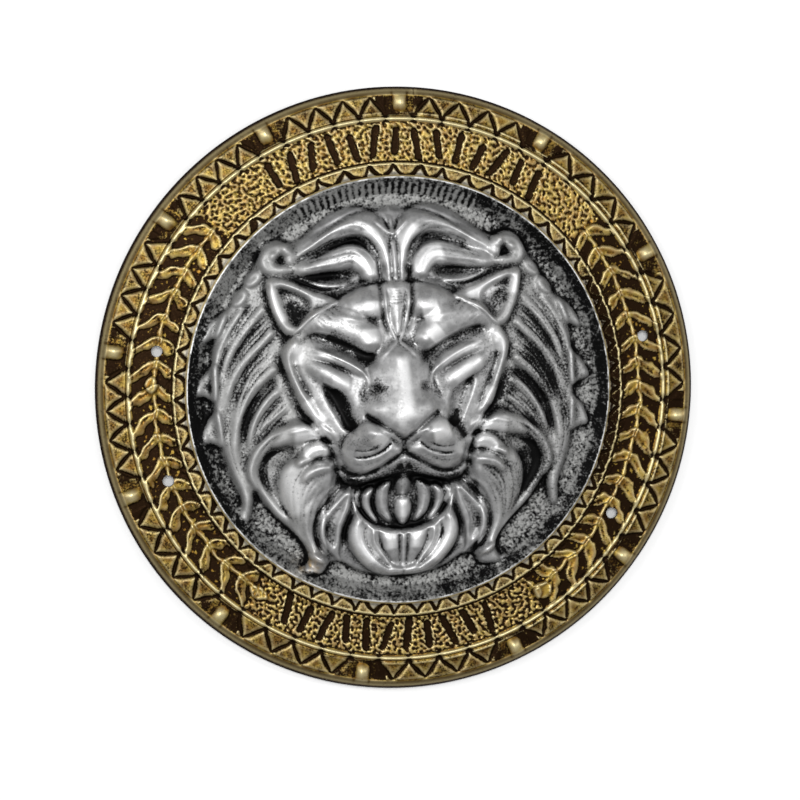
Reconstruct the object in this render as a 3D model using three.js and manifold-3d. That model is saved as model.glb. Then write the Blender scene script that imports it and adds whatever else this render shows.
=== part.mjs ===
// A round buckler shield, formed in one thin sheet: a turned-down rim, a flat decorated band with
// twelve studs, a raised crest, and a dish that holds a lion's head in high relief. The back is
// hollow and follows the front. Four open holes in the band take the forearm straps.
//
// Millimetres, +Z up. The shield lies on its rim with the face up, and the rim's underside is z = 0.

import * as THREE from 'three';
import { mergeVertices } from 'three/addons/utils/BufferGeometryUtils.js';
import Module from 'manifold-3d';

// ---------------------------------------------------------------------------------- dimensions

const OUTER_RADIUS = 200;
const WALL = 2; // thickness of the formed sheet

// Cross-section of the front, from the dish wall out to the rim: [radius, height].
const DISH_FLOOR = 8;
const DISH_RADIUS = 133;
const PROFILE = [
  [DISH_RADIUS, DISH_FLOOR],
  [138.5, 15],
  [140.5, 16], // crest
  [143, 13.5],
  [150.5, 13],
  [153, 12],
  [174.5, 12], // flat band
  [178.5, 13], // ring fillet
  [181.5, 11],
  [193, 10.5],
  [197.5, 8.5],
  [OUTER_RADIUS, 5],
];

const RIM_INNER_RADIUS = 197; // the rim's flat underside reaches in to here
const BAND_INNER_RADIUS = 152;
const BAND_OUTER_RADIUS = 176;
const BAND_BACK = 10; // height of the band's flat back

// The lion's head stands on the dish, leans a little to the side and sits a little left of the
// middle. Its own axes are u, across the face, and v, up the face.
const HEAD_TILT = THREE.MathUtils.degToRad(2.3);
const HEAD_SHIFT = 2.5;
const MANE_RADIUS = 116;
const MANE_RISE = 13;

const STRAP_HOLE_RADIUS = 3.75;
const STRAP_HOLES = [
  { x: -160, y: 27 },
  { x: -153, y: -58 },
  { x: 164.5, y: 35 },
  { x: 144, y: -84 },
];

const STUD_RING_RADIUS = 187.5;
const STUD_LENGTH = 12;
const STUD_WIDTH = 9;
const STUD_RISE = 4.5;
const STUD_ANGLES = [28.5, 60, 90, 118, 144, 172, 201, 231, 262.5, 294.5, 323.5, 354.5];

// Facets: the head has rings of 6, 12, 18 ... corners, so that its facets are all much alike.
const HEAD_RINGS = 22;
const RIM_CORNERS = 66;

// ---------------------------------------------------------------------------------- lion's head

// A swelling or hollow over an ellipse. `turn` is in degrees, and a higher `power` gives a
// flatter top with steeper sides.
const MIDDLE_SWELLINGS = [
  { at: [0, -2], size: [76, 84], rise: 11, power: 4 }, // the face stands out of the mane
  { at: [0, -6], size: [66, 78], rise: 8, power: 1 }, // and is domed
  { at: [0, 20], size: [15, 66], rise: 6, power: 1.5 }, // bridge of the nose
  { at: [0, -22], size: [27, 18], rise: 9, power: 2 }, // nose
  { at: [0, -55], size: [42, 9], rise: -8, power: 1 }, // mouth
  { at: [0, -71], size: [30, 18], rise: 6, power: 2 }, // chin tuft
  { at: [0, -101], size: [36, 22], rise: 7, power: 2 }, // beard
];

// The same on the right half of the head, repeated on the left.
const PAIRED_SWELLINGS = [
  { at: [32, 38], size: [34, 14], rise: 8, turn: 22, power: 2 }, // brow
  { at: [27, 60], size: [25, 12], rise: 6, turn: 10, power: 2 }, // forehead lobe
  { at: [37, 19], size: [27, 10], rise: -10, turn: 30, power: 1.4 }, // eye socket
  { at: [40, 14], size: [18, 6], rise: 5, turn: 30, power: 1 }, // eye
  { at: [34, -14], size: [10, 20], rise: -9, turn: 12, power: 1.4 }, // hollow beside the nose
  { at: [23, -35], size: [22, 18], rise: 12, power: 2 }, // muzzle pad
  { at: [60, 2], size: [13, 38], rise: 7, turn: 12, power: 1.5 }, // cheek
  { at: [66, 62], size: [28, 17], rise: 12, turn: 24, power: 2 }, // ear
  { at: [66, 60], size: [16, 8], rise: -9, turn: 24, power: 1.5 }, // ear hollow
];

// Locks of hair, each a tapering ridge along a curve from its root, past a bend, to its tip.
const PAIRED_LOCKS = [
  { root: [4, 74], bend: [16, 134], tip: [70, 88], width: 17, rise: 9 }, // crown
  { root: [12, 70], bend: [26, 104], tip: [62, 78], width: 12, rise: 8 }, // under the crown
  { root: [72, 92], bend: [102, 78], tip: [112, 40], width: 12, rise: 6 }, // behind the ear
  { root: [76, 52], bend: [136, 4], tip: [102, -80], width: 17, rise: 9 }, // outer mane
  { root: [74, 26], bend: [114, 0], tip: [98, -58], width: 12, rise: 6 },
  { root: [62, -12], bend: [126, -40], tip: [58, -116], width: 16, rise: 9 }, // lower mane
  { root: [58, -38], bend: [96, -70], tip: [60, -104], width: 14, rise: 7 },
  { root: [34, -58], bend: [66, -92], tip: [26, -120], width: 12, rise: 7 }, // side of the beard
];

const lockPaths = new Map(
  PAIRED_LOCKS.map((lock) => {
    const points = [lock.root, lock.bend, lock.tip].map(([u, v]) => new THREE.Vector2(u, v));
    return [lock, new THREE.QuadraticBezierCurve(...points).getPoints(24)];
  })
);

function swellingHeight(u, v, { at, size, rise, turn = 0, power }) {
  const angle = THREE.MathUtils.degToRad(turn);
  const du = u - at[0];
  const dv = v - at[1];
  const across = (du * Math.cos(angle) + dv * Math.sin(angle)) / size[0];
  const along = (-du * Math.sin(angle) + dv * Math.cos(angle)) / size[1];
  const reach = Math.pow(Math.hypot(across, along), 2 * power);
  return reach < 1 ? rise * (1 - reach) ** 2 : 0;
}

function lockHeight(u, v, lock) {
  const path = lockPaths.get(lock);
  let height = 0;
  path.forEach((point, i) => {
    const along = i / (path.length - 1);
    const halfWidth = (lock.width / 2) * (1.35 - 0.85 * along);
    const reach = Math.hypot(u - point.x, v - point.y) / halfWidth;
    if (reach < 1) height = Math.max(height, lock.rise * (1 - 0.45 * along) * (1 - reach ** 2));
  });
  return height;
}

function headHeight(x, y) {
  const u = x * Math.cos(HEAD_TILT) + y * Math.sin(HEAD_TILT) + HEAD_SHIFT;
  const v = -x * Math.sin(HEAD_TILT) + y * Math.cos(HEAD_TILT);
  const reach = Math.hypot(u, v) / MANE_RADIUS;
  let height = MANE_RISE * Math.sqrt(Math.max(0, 1 - reach ** 4));
  for (const swelling of MIDDLE_SWELLINGS) height += swellingHeight(u, v, swelling);
  for (const swelling of PAIRED_SWELLINGS) height += swellingHeight(Math.abs(u), v, swelling);
  return height + Math.max(...PAIRED_LOCKS.map((lock) => lockHeight(Math.abs(u), v, lock)));
}

// ------------------------------------------------------------------------- front, back and wall

function profileHeight(radius) {
  if (radius <= DISH_RADIUS) return DISH_FLOOR;
  if (radius >= OUTER_RADIUS) return PROFILE.at(-1)[1];
  const outer = PROFILE.findIndex(([r]) => radius <= r);
  const [r0, z0] = PROFILE[outer - 1];
  const [r1, z1] = PROFILE[outer];
  return z0 + ((radius - r0) / (r1 - r0)) * (z1 - z0);
}

function frontHeight(x, y) {
  const radius = Math.hypot(x, y);
  return profileHeight(radius) + (radius < DISH_RADIUS ? headHeight(x, y) : 0);
}

// The sheet keeps its thickness square to the surface, so it is taller where the front is steep.
function backHeight(x, y) {
  const radius = Math.hypot(x, y);
  const inBand = radius > BAND_INNER_RADIUS - 0.01 && radius < BAND_OUTER_RADIUS + 0.01;
  if (inBand) return BAND_BACK;
  const step = 3;
  const slopeX = (frontHeight(x + step, y) - frontHeight(x - step, y)) / (2 * step);
  const slopeY = (frontHeight(x, y + step) - frontHeight(x, y - step)) / (2 * step);
  return frontHeight(x, y) - WALL * Math.min(Math.hypot(1, slopeX, slopeY), 2);
}

function ring(radius, corners, height) {
  return Array.from({ length: corners }, (_, i) => {
    const angle = (2 * Math.PI * i) / corners;
    const x = radius * Math.cos(angle);
    const y = radius * Math.sin(angle);
    return new THREE.Vector3(x, y, height(x, y));
  });
}

// Rings of one face of the sheet, from the middle out: the fine ones of the head, then one at each
// of the given radii.
function faceRings(height, radii) {
  const head = [ring(0, 1, height)];
  for (let i = 1; i <= HEAD_RINGS; i++) {
    head.push(ring(127 * (i / HEAD_RINGS) ** 1.1, 6 * i, height));
  }
  return [...head, ...radii.map((radius) => ring(radius, RIM_CORNERS, height))];
}

// The closed outline of the sheet, from the middle of the front, over the rim, to the middle of
// the back.
function wallRings() {
  const frontRadii = PROFILE.map(([radius]) => radius);
  const backRadii = [132, 139, 145, BAND_INNER_RADIUS, BAND_OUTER_RADIUS, 193];
  const rim = [OUTER_RADIUS, RIM_INNER_RADIUS].map((radius) => ring(radius, RIM_CORNERS, () => 0));
  return [...faceRings(frontHeight, frontRadii), ...rim, ...faceRings(backHeight, backRadii).reverse()];
}

// Triangles between two rings, which may have different numbers of corners: whichever ring lags
// behind in angle takes the next step.
function stitch(first, second, emit) {
  let i = 0;
  let j = 0;
  while (i < first.length || j < second.length) {
    const a = first[i % first.length];
    const b = second[j % second.length];
    const stepFirst = j === second.length || (i + 1) / first.length <= (j + 1) / second.length;
    if (i < first.length && stepFirst) {
      i += 1;
      if (first.length > 1) emit(a, b, first[i % first.length]);
    } else {
      j += 1;
      if (second.length > 1) emit(a, b, second[j % second.length]);
    }
  }
}

function shellGeometry() {
  const positions = [];
  const rings = wallRings();
  const emit = (...corners) => corners.forEach((corner) => positions.push(...corner.toArray()));
  for (let i = 1; i < rings.length; i++) stitch(rings[i - 1], rings[i], emit);
  const geometry = new THREE.BufferGeometry();
  geometry.setAttribute('position', new THREE.Float32BufferAttribute(positions, 3));
  return geometry;
}

// ----------------------------------------------------------------------------- studs and holes

// Half a barrel that lies on the outer band and points at the middle. Its root stays inside the
// sheet.
function studGeometry(angleDegrees) {
  const geometry = new THREE.SphereGeometry(1, 8, 4);
  geometry.rotateX(Math.PI / 2);
  geometry.scale(STUD_LENGTH / 2, STUD_WIDTH / 2, STUD_RISE);
  const positions = geometry.attributes.position;
  for (let i = 0; i < positions.count; i++) {
    positions.setZ(i, Math.max(positions.getZ(i), -WALL / 2));
  }
  const angle = THREE.MathUtils.degToRad(angleDegrees);
  geometry.rotateZ(angle);
  const x = STUD_RING_RADIUS * Math.cos(angle);
  const y = STUD_RING_RADIUS * Math.sin(angle);
  return geometry.translate(x, y, profileHeight(STUD_RING_RADIUS));
}

function strapHoleGeometry({ x, y }) {
  const geometry = new THREE.CylinderGeometry(STRAP_HOLE_RADIUS, STRAP_HOLE_RADIUS, 30, 16);
  geometry.rotateX(Math.PI / 2);
  return geometry.translate(x, y, BAND_BACK);
}

// ------------------------------------------------------------------------------------ booleans

const wasm = await Module();
wasm.setup();

function toSolid(geometry) {
  const copy = geometry.clone();
  copy.deleteAttribute('normal');
  copy.deleteAttribute('uv');
  const bare = mergeVertices(copy, 1e-4);
  const vertProperties = new Float32Array(bare.attributes.position.array);
  const triVerts = new Uint32Array(bare.index.array);
  return new wasm.Manifold(new wasm.Mesh({ numProp: 3, vertProperties, triVerts }));
}

function toGeometry(solid) {
  const { vertProperties, triVerts } = solid.getMesh();
  const geometry = new THREE.BufferGeometry();
  geometry.setAttribute('position', new THREE.Float32BufferAttribute(vertProperties, 3));
  geometry.setIndex(Array.from(triVerts));
  geometry.computeVertexNormals();
  return geometry;
}

function shieldSolid() {
  let solid = toSolid(shellGeometry());
  for (const angle of STUD_ANGLES) solid = solid.add(toSolid(studGeometry(angle)));
  for (const hole of STRAP_HOLES) solid = solid.subtract(toSolid(strapHoleGeometry(hole)));
  return solid;
}

// --------------------------------------------------------------------------------------- scene

const paintedSheet = new THREE.MeshStandardMaterial({
  color: 0x9c8a5c,
  roughness: 0.42,
  metalness: 0.6,
});

const shell = new THREE.Mesh(toGeometry(shieldSolid()), paintedSheet);
shell.name = 'shield_shell';

const shield = new THREE.Group();
shield.name = 'buckler_shield';
shield.add(shell);

export default shield;
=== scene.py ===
import math

import bpy
import numpy as np
from mathutils import Matrix, Vector


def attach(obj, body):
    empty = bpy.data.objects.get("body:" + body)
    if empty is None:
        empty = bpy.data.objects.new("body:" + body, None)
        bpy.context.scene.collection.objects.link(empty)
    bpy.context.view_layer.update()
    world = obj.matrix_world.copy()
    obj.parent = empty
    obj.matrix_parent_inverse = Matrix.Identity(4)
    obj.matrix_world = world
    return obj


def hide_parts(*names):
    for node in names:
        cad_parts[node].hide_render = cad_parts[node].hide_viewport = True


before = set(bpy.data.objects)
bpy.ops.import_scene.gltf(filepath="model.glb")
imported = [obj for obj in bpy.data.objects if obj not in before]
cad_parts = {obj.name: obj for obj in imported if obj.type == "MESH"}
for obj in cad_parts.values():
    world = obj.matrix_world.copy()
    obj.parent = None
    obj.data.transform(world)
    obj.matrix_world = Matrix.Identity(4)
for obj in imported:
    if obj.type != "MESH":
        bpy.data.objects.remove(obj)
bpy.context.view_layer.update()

# Sizes are in millimetres up to make_piece(), which turns them to metres. Angles run round from +X.
MM = 0.001
OUTER_RADIUS = 200.0
RIM_FOOT_RADIUS = 197.0       # the rim stands on a flat edge from here to OUTER_RADIUS
SHEET = 2.0                   # thickness of the formed plastic sheet
THINNEST = 0.7                # what is left of it under the deepest cuts of the dish
DEEPEST_CUT = 1.5             # how far the cuts of the band and border go into it
DISH_EDGE = 141.0             # the silver dish ends here, at its crest
BAND_EDGE = 181.0             # the gold band ends here, and the toothed border begins
# radius and height of the plain shield, from the middle to the rim
PROFILE = [(0, 8), (130, 8), (138.8, 15), (140.5, 16), (143, 13.5), (150.5, 13), (153, 12), (175, 12),
           (178, 12), (182, 11.2), (193, 10.5), (197.5, 8.5), (200, 5)]

HEAD_TILT = math.radians(2.3)    # the top of the head leans to the left
HEAD_SHIFT = 2.5                 # and its middle line passes this far left of the centre

STUDS = [28.5, 60, 90, 118, 144, 172, 201, 231, 262.5, 294.5, 323.5, 354.5]
STUD_ROOM = 3.0               # degrees from a stud to the nearest notch in the bead
TEETH = 4                     # outward triangles between two studs
TOOTH_FOOT, TOOTH_TIP = 181.5, 193.2
LIP_FOOT = 193.9              # a thin crease parts the teeth from the lip
BEAD_RADIUS = 178.9
BEAD_FOOT = 176.3             # the crease inside the bead
THIN_BEAD_RADIUS = 182.6      # a second, thin bead, which fades out at the left
FLOOR_LOW, FLOOR_HIGH = 151.3, 177.0    # the sunk floor of the band, with garlands and pebbles
SCALLOPS = 61
SCALLOP_RIM = 149.3           # where the scallops meet, and how far in the arrowheads reach from there
SCALLOP_DEPTH = 7.6
STEM_RADIUS = 162.0
LEAF_PITCH = 5.65             # degrees
OUTER_LEAF, INNER_LEAF = 13.5, 11.0                  # lengths, square to the stem
GARLANDS = [(-57.0, 41.0, 1), (138.0, 234.0, -1)]    # first angle, last angle, side
BUDS = [(305.6, 166.0, 7.5, 7.0), (234.6, 163.0, 8.0, 5.0), (178.2, 164.0, 6.5, 5.0)]
STROKE_ROWS = [(54, 123, 14), (240, 294, 11)]        # first angle, last angle, number of strokes
STRAP_HOLES = [(-160, 27), (-153, -58), (164.5, 35), (144, -84)]
STRAP_HOLE_RADIUS = 3.75

# how much painted shade lies on the wall inside the dish's crest at these angles, and how dark the dish's
# floor is painted there
WASH_ANGLES = [0, 30, 50, 75, 110, 150, 168, 195, 218, 240, 270, 300, 330]
WALL_SHADE = [0.8, 0.85, 0.8, 0.6, 0.32, 0.35, 0.9, 1.0, 0.75, 0.4, 0.45, 0.6, 0.75]
FLOOR_DARKNESS = [0.26, 0.38, 0.42, 0.25, 0.2, 0.2, 0.48, 0.58, 0.42, 0.18, 0.18, 0.3, 0.26]
# wider patches of painted shade on the head, or of painted light where the amount is negative: centre, size
# and amount
HEAD_LIGHT_AND_SHADE_PATCHES = [((100, 0), (32, 75), 0.22), ((-100, 0), (28, 70), -0.1), ((88, -60), (22, 34), 0.15),
                ((0, -105), (26, 14), -0.12)]

# how finely each piece is meshed, to stay under 200,000 triangles
GRID_STEP = 0.5
DISH_RINGS = 170
DISH_BACK_RINGS = 56
BAND_STEPS, BAND_RINGS = 1500, 60
BORDER_STEPS, BORDER_RINGS = 1800, 32
BACK_STEPS = 240

rng = np.random.default_rng(11)


# ---------------------------------------------------------------- small shapes
def smooth(value):
    """Eases from 0 to 1 as the value does."""
    t = np.clip(value, 0.0, 1.0)
    return t * t * (3.0 - 2.0 * t)


def bell(distance, width):
    """1 at no distance, falling to 0 over about twice the width."""
    return np.exp(-(distance / width) ** 2)


def between(value, low, high, ease_in, ease_out=None):
    """1 from low to high and 0 beyond them, easing in after low and out before high."""
    ease_out = ease_in if ease_out is None else ease_out
    return smooth((value - low) / ease_in) * smooth((high - value) / ease_out)


def curve(points, closed=False, per_span=8):
    """Points along a smooth curve through the given ones."""
    p = np.asarray(points, dtype=float)
    if closed:
        p = np.vstack([p[-1], p, p[0], p[1]])
    else:
        p = np.vstack([2 * p[0] - p[1], p, 2 * p[-1] - p[-2]])
    t = np.linspace(0, 1, per_span, endpoint=False)[:, None]
    spans = []
    for a, b, c, d in zip(p[:-3], p[1:-2], p[2:-1], p[3:]):
        spans.append(0.5 * (2 * b + (c - a) * t + (2 * a - 5 * b + 4 * c - d) * t**2
                            + (3 * b - a - 3 * c + d) * t**3))
    if not closed:
        spans.append(p[-2][None])
    return np.vstack(spans)


def blurred(field, rows, columns):
    """The field with a soft blur of that many cells; opposite edges meet."""
    spectrum = np.fft.rfft2(field)
    fall = np.exp(-2 * np.pi**2 * ((rows * np.fft.fftfreq(field.shape[0])[:, None]) ** 2
                                   + (columns * np.fft.rfftfreq(field.shape[1])[None]) ** 2))
    return np.fft.irfft2(spectrum * fall, field.shape)


def lowest(field, cells):
    """The lowest value of the field within that many cells."""
    for axis in (0, 1):
        field = np.min([np.roll(field, k, axis) for k in range(-cells, cells + 1)], axis=0)
    return field


def sampled(field, rows, columns, closed=False):
    """The field between its grid points; its last row meets the first one if closed."""
    count = field.shape[0]
    if not closed:
        rows = np.clip(rows, 0, count - 1.001)
    columns = np.clip(columns, 0, field.shape[1] - 1.001)
    i, j = rows.astype(int), columns.astype(int)
    s, t = rows - i, columns - j
    i, after = i % count, (i + 1) % count
    return ((1 - s) * ((1 - t) * field[i, j] + t * field[i, j + 1])
            + s * ((1 - t) * field[after, j] + t * field[after, j + 1]))


def grain(shape, cell, size):
    """Random bumps about size mm across, with mean 0 and spread 1; cell is the cells' size in mm."""
    noise = rng.normal(size=shape)
    noise = blurred(noise, 0.35 * size / cell[0], 0.35 * size / cell[1])
    return noise / noise.std()


def worms(shape, cell, size):
    """Short winding ridges, one every size mm."""
    fine = grain(shape, cell, size)
    coarse = blurred(fine, 0.45 * size / cell[0], 0.45 * size / cell[1])
    winding = fine - coarse
    return winding / winding.std()


def profile(radius):
    """Height of the plain shield at a radius, with its corners rounded."""
    table = np.arange(0, OUTER_RADIUS + 3, 0.25)
    radii, heights = zip(*PROFILE)
    heights = np.interp(table, radii, heights)
    window = np.hanning(9)
    heights[8:-8] = np.convolve(heights, window / window.sum(), "same")[8:-8]
    return np.interp(radius, table, heights)


# ---------------------------------------------------------------- carving
class Relief:
    """Heights over a set of places, built up stroke by stroke: z holds the forms, and fine the hair."""

    def __init__(self, u, v):
        self.u, self.v = u, v
        self.z, self.fine = np.zeros_like(u), np.zeros_like(u)

    def near(self, line, reach):
        """The places in the box round a line, with room for its reach."""
        low, high = line.min(0) - reach, line.max(0) + reach
        inside = (self.u > low[0]) & (self.u < high[0]) & (self.v > low[1]) & (self.v < high[1])
        return np.flatnonzero(inside)

    def offsets(self, places, line):
        """Signed distance from the line, positive on its left, and the share of its length passed."""
        u, v = self.u[places], self.v[places]
        best = np.full(u.shape, 1e9)
        side, share = np.ones_like(u), np.zeros_like(u)
        steps = np.diff(line, axis=0)
        lengths = np.maximum(np.hypot(steps[:, 0], steps[:, 1]), 1e-9)
        starts = np.concatenate([[0], np.cumsum(lengths)])
        for (a, b), (du, dv), length, start in zip(line[:-1], steps, lengths, starts):
            t = np.clip(((u - a) * du + (v - b) * dv) / length**2, 0, 1)
            ou, ov = u - a - t * du, v - b - t * dv
            distance = ou * ou + ov * ov
            closer = distance < best
            best = np.where(closer, distance, best)
            side = np.where(closer, np.where(du * ov < dv * ou, -1.0, 1.0), side)
            share = np.where(closer, (start + t * length) / starts[-1], share)
        return np.sqrt(best) * side, share

    def stroke(self, points, rise, left, right=None, ends=(0.2, 0.2), notches=0, layer=None):
        """A ridge, or a groove if rise is negative, with its own reach on either side."""
        right = left if right is None else right
        layer = self.z if layer is None else layer
        line = curve(points)
        places = self.near(line, max(left, right))
        if len(places) == 0:
            return
        offset, share = self.offsets(places, line)
        reach = np.where(offset > 0, offset / left, -offset / right)
        taper = smooth(share / max(ends[0], 1e-6)) * smooth((1 - share) / max(ends[1], 1e-6))
        if notches:
            taper = taper * (0.75 + 0.25 * np.cos(2 * np.pi * notches * share))
        layer[places] += rise * taper * np.clip(1 - reach**2, 0, 1) ** 2

    def cut(self, points, rise, width, ends=(0.2, 0.2)):
        """A stroke in the fine layer, the same on either side."""
        self.stroke(points, rise, width, width, ends, layer=self.fine)

    def comb(self, first, last, count, rise, width, ends=(0.15, 0.3)):
        """Fine strokes fanned out between two curves given by the same number of points."""
        first, last = np.array(first, dtype=float), np.array(last, dtype=float)
        for k in range(count):
            share = (k + 0.5) / count
            strength = 0.7 + 0.3 * math.cos(2.4 * k)
            self.cut(first + (last - first) * share, rise * strength, width, ends)

    def lock(self, points, rise, widths, ends=(0.12, 0.2), strands=0, comb=0.0, fullness=0.6):
        """A rounded lock of hair along a curve, with its half-widths at root, belly and tip."""
        line = curve(points)
        places = self.near(line, max(widths))
        if len(places) == 0:
            return
        offset, share = self.offsets(places, line)
        root, belly, tip = widths
        half = (root * (1 - share) * (1 - 2 * share) + 4 * belly * share * (1 - share)
                + tip * share * (2 * share - 1))
        reach = offset / np.maximum(half, 0.3)
        inside = np.clip(1 - reach**2, 0, 1)
        taper = smooth(share / ends[0] + 0.15) * smooth((1 - share) / ends[1] + 0.1)
        height = rise * taper * inside**fullness
        if strands:
            height += comb * np.cos(np.pi * strands * (reach + 1)) * smooth(inside * 3) * taper
        self.z[places] += height

    def inside(self, outline):
        """The places near an outline, and how deep each lies inside it; negative is outside."""
        line = curve(outline, closed=True)
        line = np.vstack([line, line[:1]])
        places = self.near(line, 2.0)
        u, v = self.u[places], self.v[places]
        offset, _ = self.offsets(places, line)
        crossing = np.zeros(u.shape, dtype=bool)
        for (a, b), (c, d) in zip(line[:-1], line[1:]):
            if b != d:
                spans = (b > v) != (d > v)
                crossing ^= spans & (u < (c - a) * (v - b) / (d - b) + a)
        return places, np.where(crossing, np.abs(offset), -np.abs(offset))

    def mound(self, outline, rise, edge):
        """Raises what lies inside an outline, or lowers it, with an edge that rounds over."""
        places, depth = self.inside(outline)
        share = np.clip(depth / edge, 0, 1)
        self.z[places] += rise * np.sqrt(1 - (1 - share) ** 2)

    def swell(self, at, size, rise, turn=0.0, power=1.0):
        """A soft oval bulge, or a hollow if rise is negative."""
        angle = math.radians(turn)
        du, dv = self.u - at[0], self.v - at[1]
        across = (du * math.cos(angle) + dv * math.sin(angle)) / size[0]
        along = (-du * math.sin(angle) + dv * math.cos(angle)) / size[1]
        reach = np.hypot(across, along) ** (2 * power)
        self.z += rise * np.clip(1 - reach, 0, 1) ** 2


# ---------------------------------------------------------------- the lion's head
# Places are (across from the middle line, up from the centre), and the left half mirrors the right half.
def mirrored(half):
    """A closed outline from the points of its right half, listed from the top down."""
    return half + [(-u, v) for u, v in reversed(half) if u > 0]


def under_mane(r):
    """The ground of the whole mane: a low step at its edge, and then a long rise towards the face."""
    outline = mirrored([(0, 123), (16, 121), (30, 117), (50, 107), (66, 101), (80, 99), (89, 91),
                        (98, 76), (107, 62), (113, 55), (118, 43), (121, 25), (121, 8), (120, -10),
                        (118, -26), (116, -38), (111, -53), (107, -66), (107, -80), (101, -82), (98, -70),
                        (96, -62), (86, -77), (74, -89), (67, -97), (63, -106), (66, -117), (54, -119),
                        (49, -113), (41, -112), (30, -118), (17, -122), (0, -123)])
    places, depth = r.inside(outline)
    r.z[places] += 4.0 * smooth(depth / 2.5 + 0.1) + 11.0 * np.clip(depth / 48, 0, 1) ** 0.8


def crown(r):
    """The parted forelock: two thick strands a side that sweep up and out from the middle line."""
    # the outline over the top, with a crease inside it
    r.stroke([(0, 124), (16, 122), (30, 118), (50, 108), (64, 101)], 1.5, 1.5, 3)
    r.stroke([(0, 121), (15, 119.5), (29, 116), (48, 106), (62, 98)], -2.5, 2, 2, (0.02, 0.2))
    # the upper strand, the gap under it and two cuts along it
    r.lock([(3.5, 70), (6, 88), (11, 103), (20, 112), (31, 111), (44, 104), (58, 95), (70, 86)], 6.5,
           (2.5, 10.5, 2.5), strands=2, comb=0.5)
    r.stroke([(8, 74), (9, 86), (14, 97), (25, 102), (39, 99), (52, 92), (66, 85)], -4.6, 4.5, 6,
             (0.1, 0.3))
    r.stroke([(20, 117), (34, 113), (48, 104), (62, 94)], -1.6, 1.6)
    r.stroke([(24, 107), (38, 105), (50, 98), (64, 89)], -1.4, 1.6)
    # the lower strand, and a thin one between the two
    r.lock([(15, 72), (18, 83), (26, 90.5), (37, 89), (53, 85), (70, 81)], 6.5, (5, 8, 2.5))
    r.stroke([(12, 75), (13.5, 87), (21, 95), (33, 96), (46, 91)], 2.2, 1.6)
    # the hollow over the ear, and a fold below it
    r.stroke([(24, 76), (34, 78), (46, 78.5), (62, 79)], -6, 6, 6.5, (0.2, 0.7))
    r.stroke([(30, 73), (42, 71.5), (54, 74), (66, 78.5)], 1.8, 3.0)
    r.stroke([(36, 70), (48, 69.5), (60, 74), (72, 79)], -1.8, 1.4)
    # the parting, and the short hairs that fork from its top
    r.stroke([(0, 117), (0, 104), (0, 90), (0, 74)], 3.5, 1.7, 1.7, (0.1, 0.05))
    r.stroke([(2.6, 103), (2.8, 88), (2.2, 74)], -2.5, 1.5, 1.5, (0.3, 0.05))
    for tip in ((3.5, 119), (8, 118), (13, 115)):
        r.stroke([(0, 103), (tip[0] * 0.55, 110), tip], 2.0, 1.3, 1.3, (0.05, 0.3))
    # hair on the strands and on the fold
    r.comb([(9, 82), (14, 98), (27, 106), (44, 99), (66, 87)],
           [(5, 84), (11, 107), (30, 114.5), (50, 104), (68, 90)], 7, -0.5, 1.1)
    r.comb([(20, 78), (28, 86), (40, 84), (66, 81)], [(16, 80), (25, 93), (42, 91), (68, 83.5)], 6, -0.6,
           1.1)
    r.comb([(34, 70), (46, 68.5), (58, 71.5), (68, 76)], [(30, 74.5), (42, 73.5), (54, 76), (66, 79.5)],
           4, -0.6, 1.0)


def volute(r):
    """A scroll at the side of the crown, rolled round a dark hollow, with two smaller curls below it."""
    r.swell((76.5, 90), (14, 14), 5.0, power=2.5)
    r.stroke([(70, 95.5), (74, 99.8), (80.5, 99.3), (85.5, 94), (86.8, 87), (83.5, 81), (77, 78.5)], 3.4,
             3.2, 3.8, (0.05, 0.3))
    r.swell((75.5, 89), (5.8, 5.8), -4.2, power=1.4)
    r.stroke([(77, 90), (71, 86), (65, 84)], -2.6, 2.6, 2.6, (0.1, 0.4))
    r.swell((78.3, 91.2), (3.6, 3.6), 3.6, power=1.4)
    r.swell((69.5, 95.5), (4.6, 4.6), 3.4, power=1.6)
    for (u, v), turn in (((92.5, 77), -42), ((101.5, 65), -52)):
        c, s = math.cos(math.radians(turn)), math.sin(math.radians(turn))
        oval = [(6.8 * math.cos(k), 4.6 * math.sin(k)) for k in np.arange(8) * math.pi / 4]
        curl = [(u + c * along - s * across, v + s * along + c * across) for along, across in oval]
        r.mound(curl, 3.6, 2.6)
        r.stroke([(u - 4 * c, v - 4 * s), (u + c, v + s + 1), (u + 5 * c, v + 5 * s)], -2.0, 1.8)


def ear(r):
    """A rimmed triangle with a hollow in it."""
    outline = [(38, 62), (55, 68.5), (70, 75), (80, 78), (84.5, 75), (83, 63), (79, 51), (72, 40),
               (65, 42), (58, 49), (50, 55)]
    r.mound(outline, 7, 3.5)
    r.stroke([(40, 64), (58, 70.5), (76, 76.5)], 2.2, 2, 5, (0.3, 0.05))
    r.stroke([(82, 76), (81, 62), (76, 49), (70, 41)], 2.2, 4, 2, (0.05, 0.2))
    r.mound([(79, 71), (69, 70.5), (56, 62), (59, 52), (66, 45), (73, 52)], -6.0, 15)
    r.stroke([(77, 68), (66, 66), (57, 59)], -2.0, 1.5, 5, (0.1, 0.2))


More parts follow.
